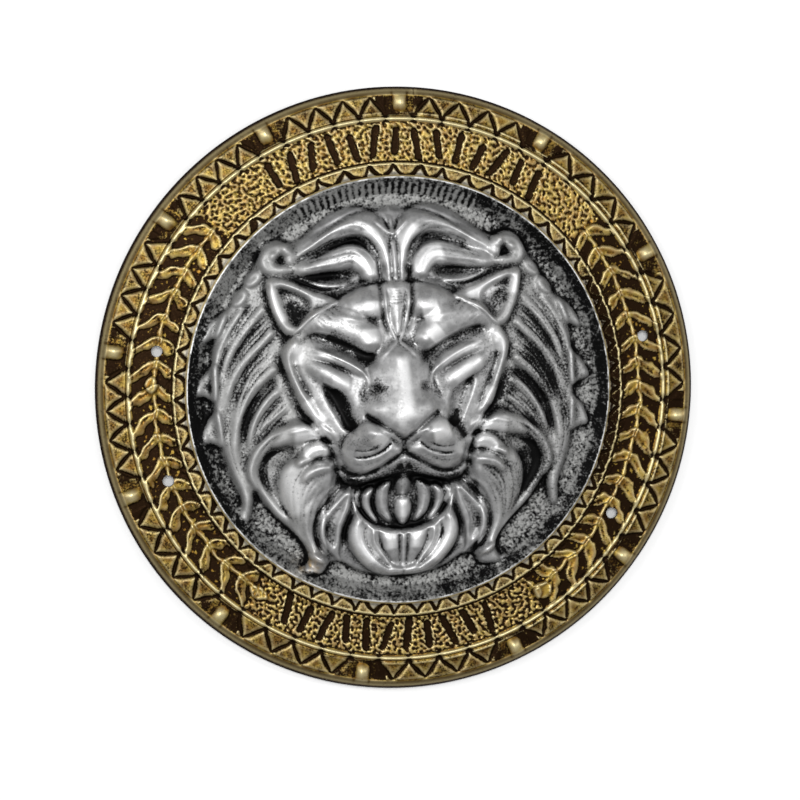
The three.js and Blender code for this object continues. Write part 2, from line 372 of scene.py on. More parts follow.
def mane(r):
    """Strands from the face out to the edge of the mane, each sharp on its lower side."""
    outer = [(98, 60), (108, 46), (115.5, 30), (119, 12), (119.5, -8), (117.5, -28), (114, -44),
             (108, -58), (103, -70), (104, -80)]
    # the mane's thick edge, and then the strands from the top down, with the gaps between them
    r.stroke(outer, 2.4, 3.0, 9, (0.05, 0.1))
    r.stroke([(92, 64), (101, 51), (109, 37), (114.5, 22), (116, 8)], -2.4, 2.6, 2.0)
    r.stroke([(84, 61), (93, 50), (101.5, 39), (109, 27), (114, 14)], 2.6, 3.5, 2.6, (0.1, 0.3),
             notches=25)
    r.stroke([(84, 54), (92, 44), (100, 34), (107, 22)], -2.0, 3, 2.4)
    r.stroke([(79, 44), (88, 34), (98, 24), (106, 13), (111, 0), (112, -14)], 2.8, 6, 2.0, (0.05, 0.3))
    r.stroke([(79, 39), (88, 29), (97, 19), (104, 8)], -2.6, 1.5, 2.5, (0.1, 0.4), notches=16)
    r.stroke([(77, 20), (87, 11.5), (95.5, 3), (101.5, -7), (106, -20), (107.5, -36), (105, -52)], 3.3, 8,
             2.0, (0.05, 0.3))
    r.stroke([(77, 13), (86, 5), (94, -4), (100, -16), (103, -30), (103, -44)], -3.2, 3, 5, (0.1, 0.3))
    r.stroke([(76, 5), (85, -3), (93, -14), (98.5, -26), (101, -36)], 2.4, 5, 1.8, (0.1, 0.3))
    r.stroke([(78, 30), (87, 22), (96, 12), (103, 1)], 1.6, 1.6)
    r.stroke([(72, -6), (81, -12.5), (90, -20), (96, -28)], 2.4, 3, 1.6)
    r.stroke([(74, 0), (83, -8), (91, -17), (97, -27)], -2.2, 1.6)
    # hair on the strands
    r.comb([(86, 62), (95, 51.5), (103.5, 40), (111, 27), (115.5, 12)],
           [(92, 64), (101, 54), (110, 41), (116, 28), (119, 10)], 3, -0.6, 1.1)
    r.comb([(80, 47), (89.5, 37), (99, 27), (107, 16), (112, 2)],
           [(84, 56), (93, 46), (102, 34), (109, 22), (114, 8)], 4, -0.6, 1.1)
    r.comb([(78, 24), (87.5, 15), (97, 4), (103, -8), (107, -22)],
           [(79, 41), (89, 30), (98.5, 20), (106, 8), (110, -8)], 6, -0.6, 1.1)
    r.comb([(77, 8), (86, 0), (94, -11), (99.5, -22), (103, -36)],
           [(77, 17), (87, 8), (95.5, -1), (102, -12), (106, -30)], 4, -0.6, 1.1)
    r.comb([(70, -10), (79, -17), (87, -25), (92, -33)], [(73, -2), (82, -10), (90.5, -18.5), (96, -30)],
           3, -0.6, 1.1)
    r.comb([(110, -20), (110.5, -34), (108, -46), (104, -58)],
           [(117, -18), (115, -32), (111.5, -45), (107, -57)], 3, -0.5, 1.0)


def hair(r):
    """Fine cuts that follow the strands of the mane and the forehead, too thin to be forms of their own."""
    for k in range(8):
        r.cut([(44 + 2.2 * k, 60 - 2.6 * k), (38 + 2.4 * k, 55 - 2.7 * k)], -0.35, 0.8)
    roots = [(84, 60), (81, 50), (79, 40), (78, 29), (77, 18), (76, 8), (73, -3), (71, -12)]
    bends = [(101, 44), (98, 35), (96, 26), (95, 15), (93, 4), (91, -9), (88, -17), (86, -25)]
    ends = [(116, 16), (113.5, 6), (112, -6), (110, -18), (107.5, -28), (104, -38), (100, -40), (96, -42)]
    for k in range(len(roots) - 1):
        for share in (0.2, 0.5, 0.8):
            line = curve([np.array(row[k]) * (1 - share) + np.array(row[k + 1]) * share
                          for row in (roots, bends, ends)])
            # they start at uneven distances from the face
            start = 0.06 * ((3 * k + round(share * 10)) % 4)
            line = line[int(start * len(line)):]
            r.cut(line[::4], -0.5, 0.9, (0.2, 0.5))


def leaf_tips(r):
    """Pointed leaves that stand out from the edge of the mane."""
    for leaf in ([(110, 56), (118, 52.5), (124, 45), (127, 37), (121, 38), (114, 42)],
                 [(117, 22), (125, 17.5), (130, 10), (132, 4), (126, 1), (118, -1)],
                 [(117, -9), (124.5, -13), (128.5, -21), (129.5, -28), (123, -30), (116, -31)]):
        r.mound(leaf, 6.0, 3)
        r.stroke([leaf[5], leaf[4], leaf[3]], 1.0, 1.8)


def lower_locks(r):
    """Two big locks beside the beard: a sunk one with a rim, and inside it a full one with a hooked tail."""
    body = [(64, -16), (77, -19), (89, -26), (98, -36), (102.5, -49), (98, -61), (88, -75), (75, -89),
            (67, -98), (62, -108), (50, -110), (52, -90), (50, -66), (46, -40)]
    r.mound(body, 4.0, 3.0)
    rim = [(66, -17.5), (77, -20.5), (88, -27.5), (96.5, -37), (100.5, -49), (96, -60.5), (86.5, -74.5),
           (73.5, -87.5), (66, -96.5), (60.5, -106)]
    r.stroke(rim, 2.2, 1.8, 2.6, (0.1, 0.15))
    r.mound([(70, -34), (82, -32), (92, -39), (96, -50), (90, -63), (81, -75), (74, -82), (80, -66),
             (80, -52)], -4.5, 6)
    inner = [(62, -40), (75, -42.5), (80.5, -52), (81, -65), (77, -78), (72, -89), (66, -99), (60, -109),
             (51, -113), (56, -101), (59.5, -88), (58.5, -76), (52, -66), (44, -57), (48, -46)]
    r.mound(inner, 5.5, 9)
    r.stroke([(57, -62), (66, -74), (67, -90), (60, -104)], -1.2, 3.0)
    r.stroke([(44, -57), (53, -65), (59, -76), (60, -88)], 1.8, 1.4)
    r.comb([(64, -46), (72, -58), (72, -76), (66, -94)], [(76, -47), (79.5, -58), (78, -74), (69, -93)],
           5, -0.45, 1.1)
    r.comb([(50, -60), (58, -70), (62, -86), (58, -104)], [(60, -50), (68, -62), (69, -80), (64, -98)], 4,
           -0.4, 1.1)
    r.comb([(76, -34), (87, -42), (88, -56), (82, -70)], [(84, -34), (93, -44), (93, -56), (87, -70)], 6,
           -0.7, 1.0)
    r.comb([(66, -19), (78, -23), (89, -31), (97, -43)], [(64, -28), (76, -29.5), (86, -36), (92, -46)],
           5, -0.6, 1.0)
    tail = [(62, -104), (66, -112), (70, -115), (65, -118.5), (57, -120), (50, -116), (50, -108)]
    r.mound(tail, 4.0, 3.5)


def cheek_tufts(r):
    """Three tufts that spring from beside the mouth, one below the other."""
    r.lock([(45, -27), (57, -23), (70, -25), (86, -32)], 5.0, (3.5, 6.5, 1.0), ends=(0.25, 0.15),
           fullness=0.9)
    r.stroke([(50, -24), (62, -21.5), (76, -24)], 2.0, 2.5, 1.2)
    r.stroke([(58, -20.0), (70, -19.5), (84, -27)], 3.0, 2.2)
    r.lock([(43, -36), (54, -34.5), (64, -39), (71, -46)], 5.5, (3, 5.5, 1.0), ends=(0.25, 0.15),
           fullness=0.9)
    r.stroke([(44, -33), (54, -31.5), (64, -35)], 1.6, 1.6, 1.0)
    r.lock([(42, -45), (53, -46), (62, -50), (68, -56)], 4.0, (2.5, 4.2, 1.0), ends=(0.25, 0.15),
           fullness=0.9)
    r.stroke([(47, -30), (57, -28.5), (66, -31)], -2.2, 1.3)
    r.stroke([(44, -40.5), (55, -40.5), (63, -45)], -2.5, 1.4)


def face_form(r):
    """The step round the face and its bulge, with the snout standing well out of it."""
    outline = mirrored([(0, 73), (14, 72), (27, 69), (40, 62), (53, 56), (63, 47), (71, 38), (75, 31),
                        (75.5, 24), (72, 14), (68, 3), (64, -8), (59, -15), (52, -23), (47, -32),
                        (44, -44), (41, -56), (33, -60), (16, -57), (0, -55)])
    places, depth = r.inside(outline)
    share = np.clip(depth / 4.5, 0, 1)
    r.z[places] += 6.5 * np.sqrt(1 - (1 - share) ** 2)
    r.swell((0, 2), (74, 82), 8.0, power=1.3)
    r.swell((0, -20), (58, 55), 8.5)
    r.stroke([(77, 30), (74, 12), (68, -4), (61, -17), (50, -30), (45, -46)], -1.8, 4, 1.8, (0.05, 0.05))
    r.stroke([(16, 75), (30, 72), (43, 65)], -2.0, 2.5, 1.5)


def forehead(r):
    """The grooved strip up the middle, the bulges beside it and the heavy brows."""
    r.lock([(0, 76), (0, 62), (0, 48), (0, 37)], 2.2, (5.5, 4, 1.2), ends=(0.05, 0.1), fullness=0.5)
    for k in range(7):
        r.cut([(-5, 71.5 - 2 * k), (5, 71.5 - 2 * k)], -0.4, 0.8)
    r.stroke([(11, 74), (10.5, 60), (8.5, 47), (4.5, 38)], -2.8, 2.2, 3.6, (0.05, 0.2))
    r.cut([(8, 70), (7.6, 58), (6, 46), (0.5, 34)], 1.3, 1.6, (0.1, 0.05))
    r.cut([(0, 35), (6, 30), (13, 23.5)], 1.1, 1.6, (0.1, 0.3))
    r.swell((22, 58), (21, 12), 5.5, -8, 1.4)
    r.stroke([(42, 57), (30, 52.5), (19, 50), (10, 46)], -1.3, 3.0, 4.0, (0.2, 0.1))
    r.lock([(15, 28), (22, 39), (36, 46), (52, 48), (64, 42)], 6.0, (6, 11.5, 4), ends=(0.16, 0.3),
           fullness=0.8)
    r.stroke([(12, 25), (22, 27), (33, 33.5), (45, 39), (56, 40), (64, 33)], -4.2, 2.4, 9, (0.12, 0.3))


def eyes(r):
    """Narrow slanting eyes under the brows."""
    r.swell((38, 28), (22, 7), -2.2, 26)
    r.lock([(22, 12), (31, 20.5), (44, 26), (60, 27.5)], 2.6, (2, 5, 1.5), ends=(0.2, 0.3), fullness=0.9)
    r.cut([(58, 32), (46, 28), (31, 20.5), (22.5, 13.5), (21.5, 6), (24, -2)], 1.1, 1.6, (0.15, 0.2))
    r.stroke([(58, 24), (45, 20.5), (34, 15.5), (27, 9)], -1.3, 1.6, 3.4, (0.5, 0.3))
    r.swell((46, 14), (20, 8.5), 4.2, 32, 1.3)


def cheek(r):
    """The deep hatched hollow beside the snout, and the cheekbone round it."""
    r.mound([(50, 8), (41, 5), (34, -1), (31, -12), (30.5, -22), (38, -22), (43.5, -12), (49, 0)], -5.5,
            9)
    for k in range(12):
        r.cut([(51 - 1.4 * k, 10 - 2.9 * k), (42 - 1.1 * k, 3 - 2.7 * k)], -0.6, 1.0, (0.2, 0.5))
    r.stroke([(67, 30), (66.5, 18), (61.5, 6), (56.5, -4), (51, -14)], -2.4, 4.0, 3.0, (0.15, 0.2))
    r.stroke([(65, 38), (71, 30), (71, 20), (67, 8), (62.5, -2), (57, -11), (51, -20)], 2.2, 3.5, 3.5,
             (0.05, 0.15))
    r.swell((66.5, 31), (4, 9), 2.0, 12)
    r.swell((58.5, -3), (4, 10), 2.6, -24)


def nose(r):
    """A bridge with a dent on either side, wings below the dents and a blunt V at the end."""
    half = np.interp(-r.v, [-36, -30, -23, -14, -9, -3, 2, 6, 14, 20, 30],
                     [7, 10, 14, 18.5, 18.5, 16.5, 19, 22.5, 24.5, 25, 26])
    roof = np.clip(1.3 - np.sqrt((r.u / half) ** 2 + 0.14), 0, 1)
    r.z += roof * (8.5 + 2.5 * bell(r.v + 12, 16)) * smooth((38 - r.v) / 14) * smooth((r.v + 33) / 10)
    r.swell((18, -9), (8, 7), 1.6, -30)
    r.swell((17, 4), (6, 5), -2.0, -30)
    r.stroke([(22, 22), (21, 12), (23, 4), (28, -4)], -1.6, 3.4, 3.0)
    r.stroke([(25, -12), (18, -17), (11, -21.5), (5, -26), (0, -30)], -4.4, 2.0, 3.4, (0.05, 0.02))
    r.stroke([(24, -17), (16, -21), (9, -26)], 1.2, 1.4, 1.4)


def muzzle(r):
    """Whisker pads with their creases, and the dark line under them."""
    pad = [(23, -17), (32, -21), (39, -29), (41, -38), (37, -47), (28, -51), (19, -48.5), (6, -41.5),
           (1.5, -36), (11, -27.5)]
    r.mound(pad, 6.0, 7)
    r.swell((23, -26), (17, 10), 3.6, -30)
    r.stroke([(36, -40), (25, -40), (15, -36), (8.5, -30)], -1.0, 1.4, 1.8, (0.25, 0.1), layer=r.fine)
    r.cut([(35, -35), (25, -35.5), (16, -32)], -0.6, 1.3, (0.25, 0.2))
    r.cut([(36, -44.5), (26, -45), (15, -41)], -0.5, 1.3, (0.25, 0.2))
    r.cut([(30, -42), (19, -40), (10, -34.5)], 0.7, 1.2)
    r.stroke([(0, -29), (0, -38)], -3, 2.2, 2.2, (0.05, 0.05))
    r.stroke([(42, -44), (38, -50.5), (29, -53), (19, -49.5), (9, -42.5), (0, -36.5)], -4.6, 4.0, 3.0,
             (0.1, 0.02))
    r.stroke([(45, -53), (37, -59), (27, -60), (16, -56), (8, -51.5), (0, -48)], -4.6, 6.5, 6.5,
             (0.1, 0.02))


def chin(r):
    """The open mouth, filled with teeth and a tongue like the petals of a bud."""
    well = mirrored([(0, -51), (14, -55), (29, -60), (33, -67), (30, -78), (19, -87), (0, -91.5)])
    r.mound(well, -6.5, 3.5)
    r.swell((0, -60), (6.3, 10), 7.0, power=1.4)
    r.swell((0, -54), (2.6, 2.6), 2.0)
    r.lock([(0, -69), (0, -78), (0, -89)], 6.0, (4.0, 6.0, 0.8), ends=(0.12, 0.15))
    r.lock([(9, -56), (14, -66), (13.5, -77), (7, -87)], 6.0, (2.0, 4.6, 0.8), ends=(0.15, 0.15))
    r.lock([(20, -60), (24.5, -69), (23, -78), (16, -86.5)], 5.5, (1.6, 3.4, 0.8), ends=(0.15, 0.15))
    r.lock([(28, -61), (30.5, -68), (28.5, -76)], 4.0, (1.2, 1.9, 0.8), ends=(0.15, 0.15))
    r.stroke([(33, -68), (30, -79), (19, -89), (0, -92.5)], 2.2, 2.4, 2.4, (0.1, 0.01))


def beard(r):
    """The fan of full petals and narrow strands that hangs from the lower lip."""
    fan = mirrored([(0, -92), (18, -88), (28, -80), (32, -78), (37, -89), (36.5, -100), (30, -110),
                    (18, -119.5), (0, -122)])
    r.mound(fan, 5.0, 5.0)
    r.lock([(29, -78), (32, -90), (29.5, -101), (21, -111), (10, -117.5), (0, -119)], 3.8, (2, 6, 2.5),
           ends=(0.15, 0.02))
    r.stroke([(24.5, -85), (26, -95), (20, -106.5), (8, -117)], -3.4, 1.6, 1.8, (0.1, 0.1))
    r.stroke([(20.5, -89), (19, -100), (9, -114)], 2.6, 1.3, 1.3, (0.1, 0.1))
    r.stroke([(17, -90), (14.5, -101), (7, -113.5)], -2.6, 1.3, 1.3, (0.1, 0.1))
    r.swell((9, -100), (6.5, 13), 2.0, -14, 1.5)
    r.stroke([(2.8, -93), (2.6, -104), (1.8, -115)], -3.4, 1.4, 1.4, (0.05, 0.1))
    r.stroke([(0, -92), (0, -113)], 1.0, 1.2, 1.2, (0.05, 0.2))


def side_leaf(r):
    """A hollow leaf on either side of the beard."""
    leaf = [(34.5, -60), (44, -69), (52.5, -78.5), (56, -89), (52.5, -99.5), (41.5, -111), (42, -104),
            (41, -90), (36.5, -76)]
    r.mound(leaf, 3.5, 2.2)
    r.mound([(37, -66), (45, -74), (51, -84), (52, -92), (47, -101), (44.5, -97), (44, -86), (39.5, -75)],
            -2.2, 2.5)
    r.stroke([(37, -57), (47, -66.5), (56, -77), (59.5, -89), (56, -101), (46, -112)], -3.0, 1.6, 2.4,
             (0.15, 0.1))
    r.stroke([(34, -64), (34.5, -76), (39, -90), (39.5, -104)], -2.5, 1.2, 2.0)


# Painted shade on the head, added where the amount is positive and taken away where it is negative, and
# painted highlights on its high places:
# the middle of each stroke, its strength and how far it reaches to either side. Both halves are listed.
PAINTED_SHADE_STROKES = [
    # the eye sockets and the hollows of the cheeks
    ([(-46, 41), (-32, 33), (-18, 20)], 0.5, 7), ([(-45, 5), (-38, -9), (-32, -22)], 0.5, 9),
    ([(47, 4), (39, -8), (34, -18)], -0.3, 8), ([(64, 24), (60, 9), (55, -5)], 0.3, 5),
    ([(38, -12), (37, -20), (41, -32)], 0.6, 7),
    # beside the nose, and on the whisker pads
    ([(-17, 11), (-10.5, 3)], 0.45, 5), ([(17, 8), (14, 2)], 0.25, 4), ([(-38, -30), (-24, -29)], 0.2, 6),
    ([(8, -40), (18, -43), (30, -44)], 0.2, 5),
    # under the upper lip
    ([(-40, -56), (-20, -56), (0, -48), (18, -57), (40, -58)], 0.5, 8),
    ([(-43, -52), (-29, -59.5), (-14, -57), (0, -53), (13, -58), (26, -61.5), (41, -55)], 0.45, 5),
    ([(-20, -64), (0, -58), (20, -64)], 0.2, 8),
    # the right side of the mane
    ([(78, 12), (74, -3), (66, -17)], 0.35, 8), ([(86, 25), (98, 8), (102, -14)], 0.3, 11),
    ([(84, -40), (92, -52), (82, -72)], 0.3, 12),
    # round the ears
    ([(-66, 72), (-50, 76), (-34, 75)], 0.25, 7), ([(-70, 62), (-64, 52)], 0.35, 8),
    ([(66, 66), (72, 54)], 0.3, 8),
]
PAINTED_HIGHLIGHT_STROKES = [
    # the bridge of the nose and the whisker pads
    ([(1.5, 27), (2.5, 15), (3, 0), (3.5, -18)], 0.76, 5.28), ([(-20, -24), (-12, -31)], 0.56, 8.4),
    ([(17, -26), (31, -23)], 0.8, 10.8), ([(38, -33), (36, -42)], 0.32, 6),
    # the forehead and the brows
    ([(-17, 44), (-17, 33)], 0.72, 9.6), ([(-16, 62), (-17, 51)], 0.64, 8.4),
    ([(16, 51), (28, 54)], 0.72, 9.6), ([(21, 34), (29, 41)], 0.72, 9.6),
    # the eyelids and the cheekbones
    ([(26, 17), (40, 25), (57, 32)], 0.56, 4.2), ([(35, 6), (46, 14), (57, 20)], 0.72, 6),
    ([(-45, 10), (-32, 8)], 0.4, 7.2), ([(65, 40), (68.5, 30), (67.5, 22)], 0.72, 5.4),
    ([(63, 1), (59, -12)], 0.48, 6), ([(-60, -1), (-52, -18)], 0.72, 7.2),
    ([(-65, 35), (-66, 20)], 0.72, 6),
    # the tufts, the teeth and the beard
    ([(-72, -25), (-48, -25)], 0.64, 9.6), ([(-66, -37), (-48, -37)], 0.64, 8.4),
    ([(47, -25), (72, -27)], 0.64, 9.6), ([(47, -37), (64, -40)], 0.64, 8.4),
    ([(0, -68), (0, -84)], 0.64, 4.8), ([(-29, -84), (-28, -98), (-17, -112)], 0.72, 8.4),
    ([(29, -84), (28, -98), (17, -112)], 0.64, 8.4), ([(-9, -91), (-8, -104)], 0.64, 6),
    ([(9, -91), (8, -104)], 0.56, 6),
    # the crown and the ears
    ([(-19, 110), (-11, 102), (-5, 84)], 0.72, 6), ([(18, 110), (10, 102), (5, 84)], 0.64, 6),
    ([(34, 91), (22, 87), (16, 76)], 0.72, 9.6), ([(-28, 88), (-18, 85), (-14, 76)], 0.56, 7.2),
    ([(70, 97), (60, 92), (48, 97)], 0.32, 9.6), ([(-81, 72), (-78, 58), (-72, 48)], 0.56, 4.8),
    ([(45, 63), (60, 65), (74, 71)], 0.56, 7.2), ([(80, 74), (78, 60)], 0.48, 4.8),
    # the left lock beside the beard
    ([(-78, -44), (-74, -62), (-68, -80)], 0.36, 19.2),
]


def paint_light_and_shade(r):
    """Painted shade and painted highlights as a relief: z is the painted shade, and fine is the painted
    highlights.
    """
    for points, amount, reach in PAINTED_SHADE_STROKES:
        r.stroke(points, amount, reach, ends=(0.05, 0.05))
    for points, amount, reach in PAINTED_HIGHLIGHT_STROKES:
        r.cut(points, amount, reach, (0.15, 0.15))


LION = [under_mane, crown, mane, hair, leaf_tips, lower_locks, cheek_tufts, volute, face_form, ear, forehead,
        eyes, cheek, nose, muzzle, side_leaf, beard, chin]


def lion_heights(x, y):
    """Height of the lion's head above the dish's floor, its fine cuts, and its painted shade and painted
    highlights.
    """
    u = x * math.cos(HEAD_TILT) + y * math.sin(HEAD_TILT) + HEAD_SHIFT
    v = -x * math.sin(HEAD_TILT) + y * math.cos(HEAD_TILT)
    # A hand-cut head isn't quite even, so the two halves drift apart by under a millimetre.
    u, v = u + 0.8 * np.sin(v / 23 + 1), v + 0.7 * np.sin(u / 31 + 2)
    r = Relief(np.abs(u), v)
    for carve in LION:
        carve(r)
    paint = Relief(u, v)
    paint_light_and_shade(paint)
    return r.z, r.fine, paint.z, paint.fine


# ---------------------------------------------------------------- the dish
class Dish:
    """Heights and paint of the silver dish on a square grid."""

    def __init__(self):
        edge = DISH_EDGE + 2
        self.axis = np.arange(-edge, edge + GRID_STEP, GRID_STEP)
        self.x, self.y = np.meshgrid(self.axis, self.axis)
        self.radius = np.hypot(self.x, self.y)
        self.angle = np.degrees(np.arctan2(self.y, self.x)) % 360
        fields = lion_heights(self.x.ravel(), self.y.ravel())
        # the last two are the painted shade and the painted highlights on the head
        head, fine, left, painted_highlights = (field.reshape(self.x.shape) for field in fields)
        self.press(head, fine)
        self.paint(fine, left, painted_highlights)

    def grain(self, size):
        return grain(self.x.shape, (GRID_STEP, GRID_STEP), size)

    def press(self, head, fine):
        """The front, with the head, the hammered floor and the hatching, and the back behind it."""
        # the sheet bridges the narrow gaps of the mould, most of all in the mane
        soft = 0.55 + 0.25 * smooth((np.abs(self.x) - 60) / 20)
        head = (1 - soft) * head + soft * blurred(head, 3, 3) + fine
        self.on_floor = (1 - smooth(head / 3.0)) * smooth((DISH_EDGE - 1.5 - self.radius) / 1.5)
        self.hammered = self.grain(1.4)
        self.dashes = self.hatching()
        height = profile(self.radius) + 0.93 * head + self.hammered * (0.015 + 0.085 * self.on_floor)
        self.height = blurred(height + 0.3 * self.dashes, 0.5, 0.5)
        # the back follows the forms softly, and keeps clear of the deepest cuts
        self.back = np.minimum(blurred(self.height, 4, 4) - SHEET, lowest(self.height, 6) - THINNEST)

    def hatching(self):
        """Short radial dashes inside the crest, along the top of the dish."""
        dashes = np.cos(np.radians(self.angle) * 190)
        return between(self.angle, 66, 122, 3) * between(self.radius, 129, 138, 1.5) * dashes

    def paint(self, fine, left, painted_highlights):
        """The wash with painted shade, the rubbed places with painted highlights, the dull places and the
        gold overspray.
        """
        # how far each place lies below its surroundings, close by and further off
        near, middle, far = (blurred(self.height, cells, cells) - self.height for cells in (2.0, 4.5, 9))
        blotch = self.grain(9)
        patchy = 1 + 0.4 * blotch
        off_floor = 1 - self.on_floor
        wide = (0.33 * middle * patchy + 0.13 * far) * (1 - 0.75 * self.on_floor)
        in_mane = smooth((np.abs(self.x) - 52) / 20) * off_floor

        # wash stays in the hollows and the fine cuts, and on the floor between its hammered bumps
        wash_and_shade = 0.1 + 0.38 * near * patchy + wide + 0.8 * np.clip(-fine, 0, 1) + 0.03 * in_mane
        # the floor is painted darker at some angles than at others, and the wall inside the crest carries
        # painted shade, darkest on the left and the right
        floor_darkness, wall_shade = (np.interp(self.angle, WASH_ANGLES, table, period=360)
                                 for table in (FLOOR_DARKNESS, WALL_SHADE))
        floor_darkness = floor_darkness - 0.06 - 0.16 * self.hammered
        wash_and_shade += 0.08 * blotch * (1 - 0.6 * self.on_floor) + self.on_floor * floor_darkness
        on_wall = smooth((self.radius - 132 + 0.7 * blotch) / 3.5) * smooth((140.5 - self.radius) / 0.4)
        wall_shade = wall_shade + 0.08 * blotch - 0.15 * self.hammered
        wash_and_shade = np.maximum(wash_and_shade, on_wall * wall_shade) - 0.45 * self.dashes
        # wide patches of painted shade on the head, and of painted light where the amount is negative
        for (x, y), (wide_x, wide_y), amount in HEAD_LIGHT_AND_SHADE_PATCHES:
            reach = np.hypot((self.x - x) / wide_x, (self.y - y) / wide_y)
            wash_and_shade += amount * bell(reach, 1.0) * off_floor
        # where wash and painted shade lie thick on the head, half of what passes 0.4 is taken off
        wash_and_shade -= 0.5 * np.clip(wash_and_shade - 0.4, 0, None) * off_floor * (self.radius < 125)
        # painted shade on the head from the listed strokes, made lighter under the painted highlights
        wash_and_shade += (left - 0.6 * painted_highlights) * off_floor

        # a painted highlight along the crest, kept clear of wash and of the dull finish
        crest_highlight = bell(self.radius - 140.85, 0.45) * smooth(0.8 + self.grain(4))
        self.wash_and_shade = np.clip(wash_and_shade - crest_highlight, 0, 1)
        # the rubbed places: painted highlights on the head and along the crest, with the rubbed edges of the
        # head's ridges
        on_head = 1 - smooth((self.radius - 136) / 2)
        self.rub_and_highlight = np.clip(painted_highlights - 0.35 * near - 0.06 * wide, 0, 1) * on_head + crest_highlight
        unwiped = np.maximum(0.9 * self.on_floor, 0.9 * smooth((self.radius - 133) / 4))
        self.dull = np.maximum(unwiped * (1 - crest_highlight), 0.55 * in_mane)
        # gold overspray lies on the outer face of the crest, and in one patch at the lower left
        patch = bell(np.hypot(self.x + 66, self.y + 117), 9)
        overspray = 0.9 * patch + smooth((self.radius - DISH_EDGE) / 0.5)
        self.gilt = np.clip(overspray * (0.75 + 0.5 * self.grain(1.5)), 0, 1)

    def at(self, field, x, y):
        """The field at (x, y), between its grid points."""
        return sampled(field, (y - self.axis[0]) / GRID_STEP, (x - self.axis[0]) / GRID_STEP)


# ---------------------------------------------------------------- the band and the border
class Annulus:
    """Heights and paint of a ring-shaped zone, on a grid of angle by radius."""

    def __init__(self, low, high, steps, rings):
        self.radii = np.linspace(low, high, rings)
        self.angle, self.radius = np.meshgrid(np.arange(steps) * 360 / steps, self.radii, indexing="ij")
        self.cell = (math.radians(360 / steps) * (low + high) / 2, (high - low) / (rings - 1))
        self.height = profile(self.radius)
        self.wash_and_shade, self.rub_and_highlight, self.silver, self.dull = (np.zeros_like(self.height) for _ in range(4))

    def grain(self, size):
        return grain(self.height.shape, self.cell, size)

    def arc(self, centre):
        """Distance in mm along the ring from an angle in degrees."""
        turn = (self.angle - centre + 180) % 360 - 180
        return np.radians(turn) * self.radius

    def settle(self):
        """Keeps the cuts inside the sheet, adds the wash that the hollows hold and finds the rubbed edges."""
        self.height = np.maximum(self.height, profile(self.radius) - DEEPEST_CUT)
        # mirrored strips past the two edges keep the blur from joining them
        pad = 12
        padded = np.pad(self.height, ((0, 0), (pad, pad)), mode="reflect")
        near = (blurred(padded, 1.1 / self.cell[0], 1.1 / self.cell[1]) - padded)[:, pad:-pad]
        self.wash_and_shade = np.clip(self.wash_and_shade + 0.1 + 0.9 * near, 0, 1)
        self.rub_and_highlight = np.clip(self.rub_and_highlight - 1.2 * near, 0, 1)

    def at(self, field, x, y):
        """The field at (x, y), between its grid points."""
        turn = np.degrees(np.arctan2(y, x)) % 360 / 360 * len(field)
        return sampled(field, turn, (np.hypot(x, y) - self.radii[0]) / self.cell[1], closed=True)

    def front_rings(self):
        """The front of the zone's piece, as one ring of points for each radius of the grid."""
        def front(x, y):
            return self.at(self.height, x, y)

        return [ring(radius, len(self.height), front) for radius in self.radii]


def tooth_places(angle):
    """How far an angle is along the teeth between two studs: 0 at the first notch and TEETH at the last."""
    studs = np.array(STUDS + [STUDS[0] + 360])
    turn = (angle - STUDS[0]) % 360 + STUDS[0]
    last = np.clip(np.searchsorted(studs, turn, side="right") - 1, 0, len(STUDS) - 1)
    gap = studs[last + 1] - studs[last]
    return (turn - studs[last] - STUD_ROOM) / (gap - 2 * STUD_ROOM) * TEETH


def add_teeth(zone, patchy):
    """A row of triangles parted by V grooves, with a dark recess round each stud."""
    place = tooth_places(zone.angle)
    swing = np.abs((place + 0.5) % 1 - 0.5) * 2
    line = TOOTH_FOOT + (TOOTH_TIP - TOOTH_FOOT) * swing
    off = np.abs(zone.radius + 0.25 * zone.grain(6) - line) * 0.64
    in_row = (place >= 0) & (place <= TEETH)
    across = between(zone.radius, TOOTH_FOOT - 0.8, TOOTH_TIP + 0.9, 0.8, 0.9)
    # each groove is a wedge, widest half-way out
    groove = bell(off, 0.65 + 0.65 * np.sin(np.pi * swing)) * in_row
    zone.height += across * in_row * (0.35 * smooth(off / 3.5) + 0.06 * patchy) - 1.5 * across * groove
    zone.wash_and_shade += across * (0.6 * groove + in_row * (0.21 + 0.1 * patchy + 0.12 * smooth(off / 4 - 0.2)))
    zone.dull += 0.3 * across
    half_tooth = ((place < 0.5) | (place > TEETH - 0.5)) & (zone.radius > line + 0.6)
    recess = ((half_tooth | ~in_row) * across).astype(float)
    recess = blurred(recess, 0.6 / zone.cell[0], 0.6 / zone.cell[1])
    # each recess is deeper on the counter-clockwise side of its stud, and is painted darker there as shade
    deep_shaded_side = np.zeros_like(zone.height)
    for stud in STUDS:
        side = zone.arc(stud)
        deep_shaded_side = np.maximum(deep_shaded_side, (np.abs(side) < 16) * (0.45 + 0.55 * smooth((side + 1.5) / 3)))
    zone.height -= 1.3 * recess * (0.4 + 0.6 * deep_shaded_side)
    zone.wash_and_shade += recess * (0.25 + 0.5 * deep_shaded_side + 0.08 * patchy)


def add_studs(zone):
    """Long domes that widen outwards, wiped clean of wash, with a painted highlight on top."""
    half = 4.0 + 0.9 * smooth((zone.radius - 182) / 6)
    along = between(zone.radius, TOOTH_FOOT, 199.5, 8.0, 9.5)
    for stud in STUDS:
        dome = np.clip(1 - (zone.arc(stud) / half) ** 2, 0, 1) ** 0.85 * along
        zone.height += 3.4 * dome
        # a painted highlight on the top of each dome
        zone.rub_and_highlight += 0.6 * dome**2
        zone.wash_and_shade -= 1.4 * smooth(dome * 2.2)
        zone.dull *= 1 - smooth(dome * 1.6)


